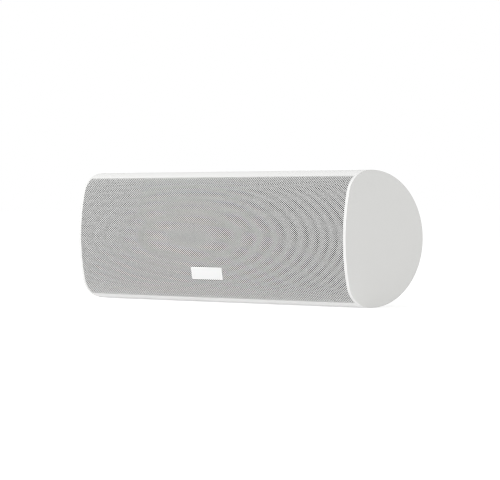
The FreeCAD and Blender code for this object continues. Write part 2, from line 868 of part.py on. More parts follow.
def make_moving_parts(side, x):
    front = -flange_thickness
    cone_rim = opening_radius - roll_radius * 2
    cone_edge = cone_rim - surround_lip
    middle = opening_radius - roll_radius
    outer_roll = roll_radius + skin
    foot = root(outer_roll * outer_roll - skin * skin)
    lip_end = opening_radius + surround_lip
    surround = turn_piece(
        side + "_surround",
        [
            (lip_end, front),
            (opening_radius, front, -1, None, front),
            (cone_rim, front),
            (cone_edge, front),
            (cone_edge, front - skin),
            (middle - foot, front - skin, 1, None, front),
            (middle + foot, front - skin),
            (lip_end, front - skin),
        ],
        x,
        woofer_datum,
    )
    keep(surround, side + "_surround")

    former = coil_radius + former_wall
    spider_y = basket_depth - basket_wall - ledge_height
    neck_y = spider_y - neck_clearance
    neck_front = neck_y - neck_height
    cone = turn_piece(
        side + "_cone",
        [
            (cone_rim, front),
            (cone_rim, front + skin),
            (cone_edge, front + skin),
            (former, neck_y),
            (former, neck_front),
            (cone_edge, front),
        ],
        x,
        woofer_datum,
    )
    keep(cone, side + "_cone")

    face_slope = (neck_front - front) / (cone_edge - former)
    cap_y = front + (cone_edge - dust_cap_radius) * face_slope
    cap = turn_piece(
        side + "_dust_cap",
        [
            (0, cap_y - dust_cap_rise, 1, 0, None),
            (dust_cap_radius, cap_y),
            (dust_cap_radius - skin, cap_y, -1, 0, None),
            (0, cap_y - dust_cap_rise + skin),
        ],
        x,
        woofer_datum,
    )
    keep(cap, side + "_dust_cap")

    start = neck_front
    end = start + former_length
    coil = turn_piece(
        side + "_voice_coil",
        [
            (coil_radius, start),
            (former, start),
            (former, end - winding_height),
            (former + winding_wall, end - winding_height),
            (former + winding_wall, end),
            (coil_radius, end),
        ],
        x,
        woofer_datum,
    )
    keep(coil, side + "_voice_coil")

    spider = turn_piece(
        side + "_spider",
        corrugated(former, ledge_radius, spider_y - skin, skin),
        x,
        woofer_datum,
    )
    keep(spider, side + "_spider")


def corrugated(inner, outer, y, thickness):
    # a washer with folds between a sharp inner and a flat outer edge
    step = (outer - ledge_width - inner) / (spider_waves + 1)
    upper = [(inner, y)]
    for number in range(1, int(spider_waves.value) + 1):
        upper.append((inner + step * number, y - spider_rise if number % 2 else y))
    upper.append((outer - ledge_width, y))
    upper.append((outer, y))
    lower = [(r, depth + thickness) for r, depth in reversed(upper)]
    return upper + lower


def make_motor(side, x):
    former = coil_radius + former_wall
    gap = former + winding_wall + coil_gap
    plate_y = basket_depth
    magnet_y = plate_y + top_plate_thickness
    yoke_y = magnet_y + magnet_thickness
    plate = turn_piece(
        side + "_top_plate", tube_points(gap, top_plate_radius, plate_y, magnet_y), x, woofer_datum
    )
    keep(plate, side + "_top_plate")
    magnet = turn_piece(
        side + "_magnet", tube_points(magnet_bore, magnet_radius, magnet_y, yoke_y), x, woofer_datum
    )
    keep(magnet, side + "_magnet")
    pole = coil_radius - coil_gap
    yoke = turn_piece(
        side + "_yoke",
        [
            (0, plate_y),
            (pole, plate_y),
            (pole, yoke_y),
            (top_plate_radius, yoke_y),
            (top_plate_radius, yoke_y + yoke_thickness),
            (0, yoke_y + yoke_thickness),
        ],
        x,
        woofer_datum,
    )
    keep(yoke, side + "_yoke")


def make_woofers():
    screws = []
    for side, x in mirrored(woofer_x):
        make_basket(side + "_basket", x)
        make_gasket(side + "_gasket", x)
        make_moving_parts(side, x)
        make_motor(side, x)
        under_head = woofer_datum - flange_thickness
        length = flange_thickness + gasket_thickness + screw_grip
        for number, (dx, dz) in enumerate(woofer_screw_spots()):
            screws.append(add_screw("%s_woofer_screw_%d" % (side, number), length, x + dx, under_head, dz))
    keep(add_group("woofer_screws", screws), "woofer_screws")


# Tweeter


def on_mouth_rim(point):
    # true on the front edge of the tweeter's mouth
    inside = same(abs(point.x), mouth_width.value / 2) and same(abs(point.z), mouth_height.value / 2)
    return inside and same(point.y, 0)


def make_tweeter():
    face_y = baffle_front - face_thickness
    face = plate_piece("tweeter_face", face_width, face_height, face_thickness, y=face_y, corner=face_corner)
    openings = draw_rectangle(make_sketch(face, "XZ_Plane"), mouth_width, mouth_height)
    for x, z in face_screw_spots():
        draw_circle(openings, screw_hole, x, z)
    soften(face, cut_through(face, openings), "Chamfer", "Size", mouth_flare, on_mouth_rim)
    keep(face, "tweeter_face")

    pole = plate_piece("tweeter_pole_plate", motor_width, motor_height, pole_plate_thickness, y=baffle_front)
    slots = make_sketch(pole, "XZ_Plane")
    first = -pole_slot_pitch * (pole_slot_count - 1) / 2
    width = motor_width - bar_width * 2 - ribbon_clearance * 2
    draw_rectangle(slots, width, pole_slot_height, 0, first)
    slot = cut_through(pole, slots)
    row = pole.newObject("PartDesign::LinearPattern", "row")
    row.Originals = [slot]
    row.Direction = (origin_item(pole, "Z_Axis"), [""])
    bind(row, "Length", pole_slot_pitch * (pole_slot_count - 1))
    bind(row, "Occurrences", pole_slot_count)
    pole.Tip = row
    keep(pole, "tweeter_pole_plate")

    gap_y = baffle_front + pole_plate_thickness
    bars = []
    for side, x in mirrored(motor_width / 2 - bar_width / 2):
        low = (x - bar_width / 2, gap_y, -motor_height / 2)
        bars.append(add_box(side + "_magnet_bar", low, (bar_width, gap_depth, motor_height)))
    keep(add_group("tweeter_magnets", bars), "tweeter_magnets")
    make_ribbon(gap_y + ribbon_clearance)

    yoke_y = gap_y + gap_depth
    yoke = plate_piece("tweeter_yoke", motor_width, motor_height, tweeter_yoke_thickness, y=yoke_y)
    window = draw_rectangle(make_sketch(yoke, "XZ_Plane"), width, mouth_height)
    cut_through(yoke, window)
    keep(yoke, "tweeter_yoke")
    chamber = plate_piece("tweeter_chamber", motor_width, motor_height, chamber_depth, y=chamber_y)
    hollow = make_sketch(chamber, "XZ_Plane")
    draw_rectangle(hollow, motor_width - chamber_wall * 2, motor_height - chamber_wall * 2)
    cut_to(chamber, hollow, chamber_depth - chamber_wall)
    keep(chamber, "tweeter_chamber")

    screws = []
    for number, (x, z) in enumerate(face_screw_spots()):
        screws.append(add_screw("tweeter_screw_%d" % number, face_thickness + screw_grip, x, face_y, z))
    keep(add_group("tweeter_screws", screws), "tweeter_screws")


def make_ribbon(y):
    # a foil folded into upright pleats, side by side across the mouth
    body = make_body("tweeter_ribbon", 0, y)
    width = motor_width - bar_width * 2 - ribbon_clearance * 2
    pleats = int(width.value // pleat_pitch.value)
    start = -pleat_pitch * pleats / 2
    near = []
    for fold in range(2 * pleats + 1):
        x = start + pleat_pitch * fold / 2
        near.append((x, as_size(0) if fold % 2 else pleat_depth - ribbon_fold))
    far = [(x, depth + ribbon_fold) for x, depth in reversed(near)]
    sketch = draw(make_sketch(body, "XY_Plane"), near + far)
    add_pad(body, sketch, ribbon_height, symmetric=True)
    keep(body, "tweeter_ribbon")


# Terminals and crossover

cup_screw_x = cup_width / 2 + cup_wall + cup_rim / 2


def make_cup():
    # a moulded cup let into the back, with a flange that follows the tube
    flange = make_body("cup_flange_blank")
    outer_margin = (cup_wall + cup_rim) * 2
    outline = make_sketch(flange, "XZ_Plane")
    draw_rounded(outline, cup_width + outer_margin, cup_height + outer_margin, cup_corner + cup_wall)
    add_pad(flange, outline, cup_back, back=True)
    outside = add_rod("cup_outside", cup_back, cabinet_length, "x", -cabinet_length / 2)
    inside = add_rod("cup_inside", tube_radius, cabinet_length, "x", -cabinet_length / 2)
    rim = add_common("cup_rim_curve", flange, add_cut("cup_ring", outside, inside))

    walls = make_body("cup_walls", 0, cup_floor - cup_wall)
    outline = make_sketch(walls, "XZ_Plane")
    draw_rounded(outline, cup_width + cup_wall * 2, cup_height + cup_wall * 2, cup_corner + cup_wall)
    add_pad(walls, outline, cup_depth + cup_wall, back=True)
    trimmed = add_common("cup_walls_trimmed", walls, outside)

    hollow = make_body("cup_hollow", 0, cup_floor)
    outline = draw_rounded(make_sketch(hollow, "XZ_Plane"), cup_width, cup_height, cup_corner)
    add_pad(hollow, outline, cup_depth * 2, back=True)
    holes = []
    for side, x in mirrored(cup_screw_x):
        holes.append(add_rod(side + "_cup_screw_hole", screw_hole, cup_back, "y", x, tube_radius / 2))
    for side, x in mirrored(post_spacing / 2):
        radius = stud_radius + stud_clearance
        holes.append(add_rod(side + "_stud_hole", radius, cup_wall * 3, "y", x, cup_floor - cup_wall * 2))
    blank = add_fuse("cup_blank", [rim, trimmed])
    keep(add_cut("terminal_cup", blank, add_fuse("cup_cuts", [hollow] + holes)), "terminal_cup")

    screws = []
    for side, x in mirrored(cup_screw_x):
        screws.append(add_screw(side + "_cup_screw", cup_screw_length, x, cup_back, 0, inward=-1))
    keep(add_group("cup_screws", screws), "cup_screws")


def make_post(side, x):
    inner_nut = cup_floor - cup_wall - nut_height
    tail = inner_nut - board_thickness - nut_height - stud_tail
    tip = cup_floor + post_length
    blank = turn_piece(
        side + "_post_blank",
        [
            (0, tail),
            (stud_radius, tail),
            (stud_radius, cup_floor),
            (post_collar_radius, cup_floor),
            (post_collar_radius, cup_floor + post_collar),
            (post_radius, cup_floor + post_collar),
            (post_radius, tip),
            (socket_radius, tip),
            (socket_radius, tip - socket_depth),
            (0, tip - socket_depth),
        ],
        x,
    )
    hole_y = cup_floor + post_collar + wire_hole_radius + seat_clearance
    wire_hole = add_rod(
        side + "_wire_hole", wire_hole_radius, post_collar_radius * 2, "z", x, hole_y, -post_collar_radius
    )
    keep(add_cut(side + "_post", blank, wire_hole), side + "_post")

    bore = post_radius + running_clearance
    ring_y = cup_floor + post_collar + seat_clearance
    ring_end = ring_y + clamp_ring_thickness
    ring = turn_piece(
        side + "_clamp_ring", tube_points(bore, post_collar_radius, ring_y, ring_end), x
    )
    keep(ring, side + "_clamp_ring")
    knob_y = ring_end + seat_clearance
    knob_end = knob_y + knob_length
    knob = turn_piece(
        side + "_knob",
        [
            (bore, knob_y),
            (knob_radius - knob_chamfer, knob_y),
            (knob_radius, knob_y + knob_chamfer),
            (knob_radius, knob_end - knob_chamfer),
            (knob_radius - knob_chamfer, knob_end),
            (bore, knob_end),
        ],
        x,
    )
    flute_centre = knob_radius + flute_radius - flute_depth
    flute = draw_circle(make_sketch(knob, "XZ_Plane"), flute_radius, flute_centre, 0)
    ring_of(knob, cut_through(knob, flute), "Y_Axis", knob_flutes)
    keep(knob, side + "_knob")

    nuts = []
    for name, y in (("inner", inner_nut), ("outer", inner_nut - board_thickness - nut_height)):
        nut = make_body("%s_%s_nut" % (side, name), x, y)
        outline = make_sketch(nut, "XZ_Plane")
        corner = nut_width / math.sqrt(3)
        corners = []
        for turn in range(6):
            angle = math.radians(60 * turn)
            corners.append((corner * round(math.cos(angle), 12), corner * round(math.sin(angle), 12)))
        draw(outline, corners)
        draw_circle(outline, stud_radius)
        add_pad(nut, outline, nut_height, back=True)
        nuts.append(nut)
    return nuts


def make_crossover():
    board = plate_piece("crossover_board", board_width, board_height, board_thickness, y=board_y)
    holes = make_sketch(board, "XZ_Plane")
    for side, x in mirrored(post_spacing / 2):
        draw_circle(holes, stud_radius + stud_clearance, x, 0)
    cut_through(board, holes)
    keep(board, "crossover_board")

    coils = []
    capacitors = []
    for side, sign in (("left", -1), ("right", 1)):
        x = (board_width / 2 - part_edge_gap - coil_outer) * sign
        z = board_height / 2 - part_edge_gap - coil_outer
        coils.append(
            turn_piece(
                side + "_coil", tube_points(coil_inner, coil_outer, board_y - coil_height, board_y), x, 0, z
            )
        )
        start = (board_width / 2 - part_edge_gap - capacitor_length / 2) * sign - capacitor_length / 2
        z = part_edge_gap + capacitor_radius - board_height / 2
        y = board_y - capacitor_radius
        capacitors.append(add_rod(side + "_capacitor", capacitor_radius, capacitor_length, "x", start, y, z))
    keep(add_group("crossover_coils", coils), "crossover_coils")
    keep(add_group("crossover_capacitors", capacitors), "crossover_capacitors")
    low = (
        -resistor_width / 2,
        board_y - resistor_width,
        board_height / 2 - part_edge_gap - resistor_length,
    )
    span = (resistor_width, resistor_width, resistor_length)
    keep(add_box("crossover_resistor", low, span), "crossover_resistor")


# Inner leads

bend_share = 0.45      # how much of the shorter run beside a bend its arc takes up


def lead_path(label, corners):
    # straight runs joined by tangent arcs, each as large as its two runs allow
    spots = [FreeCAD.Vector(*[as_size(part).value for part in corner]) for corner in corners]
    start = spots[0]
    edges = []
    for before, corner, after in zip(spots, spots[1:], spots[2:]):
        back = before - corner
        onward = after - corner
        setback = bend_share * min(back.Length, onward.Length)
        back.normalize()
        onward.normalize()
        half_turn = (math.pi - back.getAngle(onward)) / 2
        radius = setback / math.tan(half_turn)
        inward = (back + onward).normalize()
        middle = corner + inward * (radius / math.cos(half_turn) - radius)
        bend = Part.Arc(corner + back * setback, middle, corner + onward * setback)
        edges.append(Part.LineSegment(start, bend.StartPoint).toShape())
        edges.append(bend.toShape())
        start = bend.EndPoint
        print(label, "bend radius", round(radius, 1))
    edges.append(Part.LineSegment(start, spots[-1]).toShape())
    path = doc.addObject("Part::Feature", label + "_path")
    path.Shape = Part.Wire(edges)
    return place(path)


def make_lead(label, corners):
    # a round lead that leaves the board square to it
    path = lead_path(label, corners)
    ring = doc.addObject("Part::Circle", label + "_ring")
    bind(ring, "Radius", lead_radius)
    turned = FreeCAD.Rotation(FreeCAD.Vector(1, 0, 0), 90)
    ring.Placement = FreeCAD.Placement(FreeCAD.Vector(0, 0, 0), turned)
    place(ring, *corners[0])
    lead = doc.addObject("Part::Sweep", label)
    lead.Sections = [ring]
    lead.Spine = (path, ["Edge%d" % (number + 1) for number in range(len(path.Shape.Edges))])
    lead.Solid = True
    keep(lead, label)


def make_leads():
    # from the board to a leg of each basket, and to the back of the tweeter's chamber
    exit_y = board_y - lead_exit
    leg = math.pi + math.pi / window_count.value
    leg_radius = (basket_radius + basket_base_radius) / 2
    slope = math.atan2(basket_radius.value - basket_base_radius.value, basket_depth.value)
    outward = (math.cos(leg) * math.cos(slope), math.sin(slope), math.sin(leg) * math.cos(slope))
    seat = (
        woofer_x + leg_radius * math.cos(leg),
        woofer_datum + basket_depth / 2,
        leg_radius * math.sin(leg),
    )
    end = [spot + lead_clearance * step for spot, step in zip(seat, outward)]
    approach = [spot + lead_exit * step for spot, step in zip(end, outward)]
    pad_x = board_width / 2 - lead_inset
    for side, sign in (("left", -1), ("right", 1)):
        corners = [
            (pad_x * sign, board_y, -lead_drop),
            (pad_x * sign, exit_y, -lead_drop),
            (approach[0] * sign, approach[1], approach[2]),
            (end[0] * sign, end[1], end[2]),
        ]
        make_lead(side + "_woofer_lead", corners)
    low = -lead_drop - lead_sag
    half_way = (board_y + chamber_back) / 2
    make_lead(
        "tweeter_lead",
        [
            (0, board_y, -lead_drop),
            (0, half_way + lead_exit / 2, -lead_drop),
            (0, half_way - lead_exit / 2, low),
            (0, chamber_back, low),
        ],
    )


make_shell()
for side, sign in (("left", -1), ("right", 1)):
    make_end_plate(side, sign)
make_grille()
make_badge()
for side, x in mirrored(cabinet_length / 2 - foot_end_gap):
    make_foot(side, x)
make_inserts()
make_baffle()
make_woofers()
make_tweeter()
make_cup()
post_nuts = []
for side, x in (("positive", post_spacing / 2), ("negative", -post_spacing / 2)):
    post_nuts += make_post(side, x)
keep(add_group("post_nuts", post_nuts), "post_nuts")
make_crossover()
make_leads()

doc.recompute()
for thing in doc.Objects:
    if "Invalid" in thing.State or "Error" in thing.State:
        raise RuntimeError("%s did not build: %s" % (thing.Label, thing.State))
for node in nodes:
    if node.Shape.isNull() or not node.Shape.isValid() or not node.Shape.Solids:
        raise RuntimeError("%s has no valid solid" % node.Label)

os.makedirs("parts", exist_ok=True)
for node in nodes:
    node.Shape.exportStep("parts/%s.step" % node.Label)
    bounds = node.Shape.BoundBox
    print(node.Label, len(node.Shape.Solids), round(node.Shape.Volume, 1), bounds)
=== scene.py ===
import math
import bpy
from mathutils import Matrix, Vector


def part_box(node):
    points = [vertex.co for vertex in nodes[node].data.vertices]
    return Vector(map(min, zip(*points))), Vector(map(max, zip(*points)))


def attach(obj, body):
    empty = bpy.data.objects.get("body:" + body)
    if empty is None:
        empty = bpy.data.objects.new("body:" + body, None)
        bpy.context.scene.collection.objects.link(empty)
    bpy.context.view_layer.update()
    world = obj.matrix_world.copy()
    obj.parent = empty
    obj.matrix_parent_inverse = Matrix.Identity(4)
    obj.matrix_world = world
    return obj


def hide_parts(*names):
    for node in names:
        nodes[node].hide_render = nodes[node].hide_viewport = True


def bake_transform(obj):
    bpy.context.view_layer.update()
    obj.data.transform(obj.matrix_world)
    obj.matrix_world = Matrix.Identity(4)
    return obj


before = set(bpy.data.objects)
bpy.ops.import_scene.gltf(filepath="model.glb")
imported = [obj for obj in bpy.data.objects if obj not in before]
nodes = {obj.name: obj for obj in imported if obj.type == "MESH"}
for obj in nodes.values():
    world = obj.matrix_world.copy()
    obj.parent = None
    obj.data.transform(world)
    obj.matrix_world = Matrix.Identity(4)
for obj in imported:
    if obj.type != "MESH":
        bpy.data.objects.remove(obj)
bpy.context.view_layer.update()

millimetre = 0.001
print("frame loaded,", len(nodes), "nodes")


# Places read from the frame: the tube's axis and the reach of the section

shellLow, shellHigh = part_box("cabinet_shell")
plateLow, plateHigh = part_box("right_end_plate")
tubeRadius = (shellHigh.z - shellLow.z) / 2
axisZ = (shellHigh.z + shellLow.z) / 2
axisY = plateHigh.y - tubeRadius
shellHalf = (shellHigh.x - shellLow.x) / 2

section = {
    "frontReach": axisY - plateLow.y,
    "frontRadius": 229 * millimetre,
    "cornerRadius": 28 * millimetre,
    "upperLip": 20 * millimetre,      # how far each lip reaches ahead of the axis
    "lowerLip": 18.6 * millimetre,
}
frontCentre = section["frontRadius"] - section["frontReach"]      # behind the axis
backSpan = tubeRadius - section["cornerRadius"]
frontSpan = section["frontRadius"] - section["cornerRadius"]
cornerY = (backSpan ** 2 - frontSpan ** 2 + frontCentre ** 2) / (2 * frontCentre)
cornerZ = math.sqrt(backSpan ** 2 - cornerY ** 2)
frontTurn = math.atan2(cornerZ, frontCentre - cornerY)            # where the front arc meets the corner
frontRun = section["frontRadius"] * frontTurn


def runToReach(reach):
    # arc length from the middle of the front to a given reach ahead of the axis
    turn = math.acos((reach + cornerY) / section["cornerRadius"])
    return frontRun + section["cornerRadius"] * (turn - frontTurn)


def sectionSpot(run, inset=0.0):
    # height, depth and outward normal on the front of the section, run metres from its middle
    side = 1 if run >= 0 else -1
    if abs(run) <= frontRun:
        turn = abs(run) / section["frontRadius"]
        radius = section["frontRadius"] - inset
        y = frontCentre - radius * math.cos(turn)
        z = radius * math.sin(turn)
    else:
        turn = frontTurn + (abs(run) - frontRun) / section["cornerRadius"]
        radius = section["cornerRadius"] - inset
        y = cornerY - radius * math.cos(turn)
        z = cornerZ + radius * math.sin(turn)
    return axisY + y, axisZ + side * z, -math.cos(turn), side * math.sin(turn)


# Finishes, each built from noise or stripes in object space


def newFinish(name):
    material = bpy.data.materials.new(name)
    material.use_nodes = True
    tree = material.node_tree
    return material, tree, tree.nodes["Principled BSDF"]


def objectSpace(tree):
    return tree.nodes.new("ShaderNodeTexCoord").outputs["Object"]


def addNoise(tree, size, detail=2.0):
    # noise whose blotches are about size metres across
    noise = tree.nodes.new("ShaderNodeTexNoise")
    noise.inputs["Scale"].default_value = 1 / size
    noise.inputs["Detail"].default_value = detail
    tree.links.new(objectSpace(tree), noise.inputs["Vector"])
    return noise.outputs["Fac"]


def addWave(tree, pitch, axis):
    # stripes pitch metres apart, across one axis
    wave = tree.nodes.new("ShaderNodeTexWave")
    wave.bands_direction = axis
    wave.inputs["Scale"].default_value = math.pi / (10 * pitch)
    tree.links.new(objectSpace(tree), wave.inputs["Vector"])
    return wave.outputs["Fac"]


def tint(tree, shader, factor, dark, light):
    mix = tree.nodes.new("ShaderNodeMix")
    mix.data_type = "RGBA"
    mix.inputs["A"].default_value = (*dark, 1)
    mix.inputs["B"].default_value = (*light, 1)
    tree.links.new(factor, mix.inputs["Factor"])
    tree.links.new(mix.outputs["Result"], shader.inputs["Base Color"])


def spread(tree, factor, low, high, socket):
    reach = tree.nodes.new("ShaderNodeMapRange")
    reach.inputs["To Min"].default_value = low
    reach.inputs["To Max"].default_value = high
    tree.links.new(factor, reach.inputs["Value"])
    tree.links.new(reach.outputs["Result"], socket)


def emboss(tree, shader, height, depth, strength):
    bump = tree.nodes.new("ShaderNodeBump")
    bump.inputs["Strength"].default_value = strength
    bump.inputs["Distance"].default_value = depth
    tree.links.new(height, bump.inputs["Height"])
    tree.links.new(bump.outputs["Normal"], shader.inputs["Normal"])


# what a painted, moulded or pressed surface has unless its own look says otherwise
plainSkin = {
    "strength": 0.4,
    "metal": 0.0,
    "gloss": 0.5,
}


def grainFinish(name, ownLook):
    # faint mottle, uneven gloss and a fine skin
    look = {**plainSkin, **ownLook}
    material, tree, shader = newFinish(name)
    tint(tree, shader, addNoise(tree, look["mottle"], detail=3.0), look["dark"], look["light"])
    spread(tree, addNoise(tree, look["mottle"] / 3), *look["roughness"], shader.inputs["Roughness"])
    emboss(tree, shader, addNoise(tree, look["grain"], detail=1.0), look["depth"], look["strength"])
    shader.inputs["Metallic"].default_value = look["metal"]
    shader.inputs["Specular IOR Level"].default_value = look["gloss"]
    return material


def clothFinish(name, look):
    # a plain weave: two sets of threads that rise in turn; the colour is painted shade, darker where the
    # weave dips between threads
    material, tree, shader = newFinish(name)
    across = addWave(tree, look["thread"], "X")
    along = addWave(tree, look["thread"], "Z")
    weave = tree.nodes.new("ShaderNodeMath")
    weave.operation = "MULTIPLY"
    tree.links.new(across, weave.inputs[0])
    tree.links.new(along, weave.inputs[1])
    # painted shade: the tint follows the weave's height, dark in the dips and light on the raised threads
    tint(tree, shader, weave.outputs["Value"], look["dark"], look["light"])
    spread(tree, addNoise(tree, look["thread"] * 8), *look["roughness"], shader.inputs["Roughness"])
    emboss(tree, shader, weave.outputs["Value"], look["depth"], look["strength"])
    return material


def woundFinish(name, look):
    # copper wire laid turn by turn along one axis, with painted shade darkening the grooves between turns
    material, tree, shader = newFinish(name)
    turns = addWave(tree, look["wire"], look["axis"])
    # painted shade: darker in the grooves between turns, lighter on the crests
    tint(tree, shader, turns, look["dark"], look["light"])
    spread(tree, addNoise(tree, look["wire"] * 6), *look["roughness"], shader.inputs["Roughness"])
    emboss(tree, shader, turns, look["depth"], look["strength"])
    shader.inputs["Metallic"].default_value = look["metal"]
    return material


def paint(material, *names):
    for name in names:
        slots = nodes[name].data.materials
        slots.clear()
        slots.append(material)


# Cabinet: shell and end plates under one white powder coat

powderCoat = {
    "dark": (0.845, 0.845, 0.838),
    "light": (0.868, 0.868, 0.862),
    "mottle": 0.05,
    "roughness": (0.40, 0.48),
    "grain": 0.0011,
    "depth": 0.00003,
    "strength": 0.25,
    "gloss": 0.4,
}
coat = grainFinish("whitePowderCoat", powderCoat)
paint(coat, "cabinet_shell", "left_end_plate", "right_end_plate")
print("cabinet coated")


# Grille: one bent sheet with hexagonal holes on a 60 degree stagger, meshed as four lengths

perforation = {
    "pitch": 1.967 * millimetre,
    "columns": 1.724 * millimetre,
    "web": 0.37 * millimetre,
    "sheet": 0.48 * millimetre,
    "edge": 0.3 * millimetre,         # gap to the end plates and to the lips
    "margin": 0.1 * millimetre,       # plain sheet past the last holes
    "flange": 4.5 * millimetre,
    "lengths": ("grilleLeft", "grilleMidLeft", "grilleMidRight", "grilleRight"),
}
pitch = perforation["pitch"]
holeCorner = (pitch - perforation["web"]) / math.sqrt(3)
upperRun = runToReach(section["upperLip"] + perforation["edge"])
lowerRun = runToReach(section["lowerLip"] + perforation["edge"])
edgeX = shellHalf - perforation["edge"]

# rows and columns are eased a little, so that whole columns and half holes end at the edges
lastColumn = 2 * round((edgeX - perforation["margin"]) / (2 * perforation["columns"]) - 1 / 3)
columnPitch = (edgeX - perforation["margin"]) / (lastColumn + 2 / 3)
middleRun = (upperRun - lowerRun) / 2
halfSpan = (upperRun + lowerRun) / 2 - perforation["margin"]
edgeStep = 2 * round(halfSpan / pitch - 1 / 2) + 1
halfRow = halfSpan / edgeStep
cornerSteps = ((2, 0), (1, 1), (-1, 1), (-2, 0), (-1, -1), (1, -1))
wholeHole = (0, 1, 2, 3, 4, 5)
upperHalf = (3, 2, 1, 0)
lowerHalf = (3, 4, 5, 0)


def rowRun(up):
    return middleRun + up * halfRow


class NetMesh:
    # places on the sheet are pairs: a vertex of the outer skin and the one behind it on the inner skin
    def __init__(self):
        self.points = []
        self.faces = []
        self.index = {}

    def add(self, point):
        self.points.append(point)
        return len(self.points) - 1

    def place(self, x, run):
        pair = []
        for inset in (0.0, perforation["sheet"]):
            y, z = sectionSpot(run, inset)[:2]
            pair.append(self.add((x, y, z)))
        return pair

    def spot(self, key, x, run):
        # named by its place on the flat sheet, so that neighbours share it
        if key not in self.index:
            self.index[key] = self.place(x, run)
        return self.index[key]

    def lattice(self, across, up):
        return self.spot((across, up), across * columnPitch / 3, rowRun(up))

    def face(self, corners, side=1):
        self.faces.append(tuple(corners) if side > 0 else tuple(reversed(corners)))

    def skins(self, places, side=1):
        self.face([outer for outer, inner in places], side)
        self.face([inner for outer, inner in places], -side)

    def wall(self, here, there, side=1):
        # the sheet's thickness between two places
        self.face((here[0], there[0], there[1], here[1]), side)


def addHole(net, column, up, corners=wholeHole):
    # a hole cut by the bent edge has four corners, and a flat wall along that edge
    x = column * columnPitch
    run = rowRun(up)
    normalY, normalZ = sectionSpot(run)[2:]
    cell = []
    rim = []
    for corner in corners:
        across, rise = cornerSteps[corner]
        cell.append(net.lattice(column * 3 + across, up + rise))
        angle = math.radians(60 * corner)
        edgeAt = x + holeCorner * math.cos(angle)
        frontY, frontZ = sectionSpot(run + holeCorner * math.sin(angle))[:2]
        backY = frontY - normalY * perforation["sheet"]
        backZ = frontZ - normalZ * perforation["sheet"]
        rim.append((net.add((edgeAt, frontY, frontZ)), net.add((edgeAt, backY, backZ))))
    side = -1 if corners is upperHalf else 1
    for place in range(len(corners)):
        after = (place + 1) % len(corners)
        if after or corners is wholeHole:
            net.skins((cell[place], cell[after], rim[after], rim[place]), side)
        net.wall(rim[place], rim[after], side)
    return [rim[0], rim[-1]]


def addLongEdge(net, first, last, side):
    # half holes and the plain strip up to the bent edge
    up = side * edgeStep
    stops = []
    for column in range(first, last + 1):
        if column % 2:
            stops += addHole(net, column, up, lowerHalf if side > 0 else upperHalf)
        else:
            stops += [net.lattice(column * 3 - 1, up), net.lattice(column * 3 + 1, up)]
    if first == -lastColumn:
        stops.insert(0, net.spot(("end", -1, up), -edgeX, rowRun(up)))
    if last == lastColumn:
        stops.append(net.spot(("end", 1, up), edgeX, rowRun(up)))
    else:
        stops.append(net.lattice(last * 3 + 2, up))
    across = [net.points[outer][0] for outer, inner in stops]
    bends = [net.place(x, upperRun if side > 0 else -lowerRun) for x in across]
    for spot in range(len(stops) - 1):
        after = spot + 1
        net.skins((stops[spot], stops[after], bends[after], bends[spot]), side)
        net.wall(bends[spot], bends[after], side)
    net.wall(stops[0], bends[0], side)
    net.wall(bends[-1], stops[-1], side)
    addFlange(net, across[0], across[-1], side)


def addFlange(net, left, right, side):
    # the strip turned in behind the lip, flat along X
    sheet = perforation["sheet"]
    reach = (section["upperLip"] if side > 0 else section["lowerLip"]) + perforation["edge"]
    turn = math.acos((reach + cornerY + sheet) / (section["cornerRadius"] - sheet))
    root = axisZ + side * (cornerZ + (section["cornerRadius"] - sheet) * math.sin(turn))
    tip = root - side * perforation["flange"]
    rear = axisY - reach
    outline = ((rear, tip), (rear, root), (rear - sheet, root), (rear - sheet, tip))
    ends = [[net.add((x, y, z)) for y, z in outline] for x in (left, right)]
    for corner in range(len(outline)):
        after = (corner + 1) % len(outline)
        net.face((ends[0][corner], ends[0][after], ends[1][after], ends[1][corner]), side)
    net.face(ends[0], -side)
    net.face(ends[1], side)


def addShortEdge(net, column, side):
    # plain strip beside the end plate
    edge = []
    for count, up in enumerate(range(-edgeStep, edgeStep + 1)):
        inner = net.lattice(column * 3 + side * (1 + count % 2), up)
        edge.append((inner, net.spot(("end", side, up), side * edgeX, rowRun(up))))
    for (a, b), (c, d) in zip(edge, edge[1:]):
        net.skins((a, b, d, c), side)
        net.wall(d, b, side)


def addSeam(net, column, side):
    # the cut between two lengths follows the webs to the left of a column
    cutLine = []
    for count, up in enumerate(range(-edgeStep, edgeStep + 1)):
        cutLine.append(net.lattice(column * 3 - 1 - count % 2, up))
    for low, high in zip(cutLine, cutLine[1:]):
        net.wall(low, high, side)


def newPiece(name, points, faces, material, smooth=False):
    mesh = bpy.data.meshes.new(name)
    mesh.from_pydata(points, [], faces)
    mesh.validate()
    if smooth:
        mesh.shade_smooth()
    mesh.materials.append(material)
    piece = bpy.data.objects.new(name, mesh)
    bpy.context.scene.collection.objects.link(piece)
    return piece


def pressLength(name, first, last):
    net = NetMesh()
    for column in range(first, last + 1):
        topStep = edgeStep - 1 - column % 2
        for up in range(-topStep, topStep + 1, 2):
            addHole(net, column, up)
    for side in (1, -1):
        addLongEdge(net, first, last, side)
    if first == -lastColumn:
        addShortEdge(net, first, -1)
    else:
        addSeam(net, first, 1)
    if last == lastColumn:
        addShortEdge(net, last, 1)
    else:
        addSeam(net, last + 1, -1)
    panel = newPiece(name, net.points, net.faces, coat)
    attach(panel, "cabinet")
    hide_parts("grille")
    print(name, "columns", first, "to", last, "faces", len(net.faces))


columnPairs = (lastColumn + 1) / len(perforation["lengths"])       # for each length, before rounding
for number, name in enumerate(perforation["lengths"]):
    first = 2 * round(number * columnPairs) - lastColumn
    last = 2 * round((number + 1) * columnPairs) - 1 - lastColumn
    pressLength(name, first, min(last, lastColumn))


# Cloth: black gauze stretched behind the holes

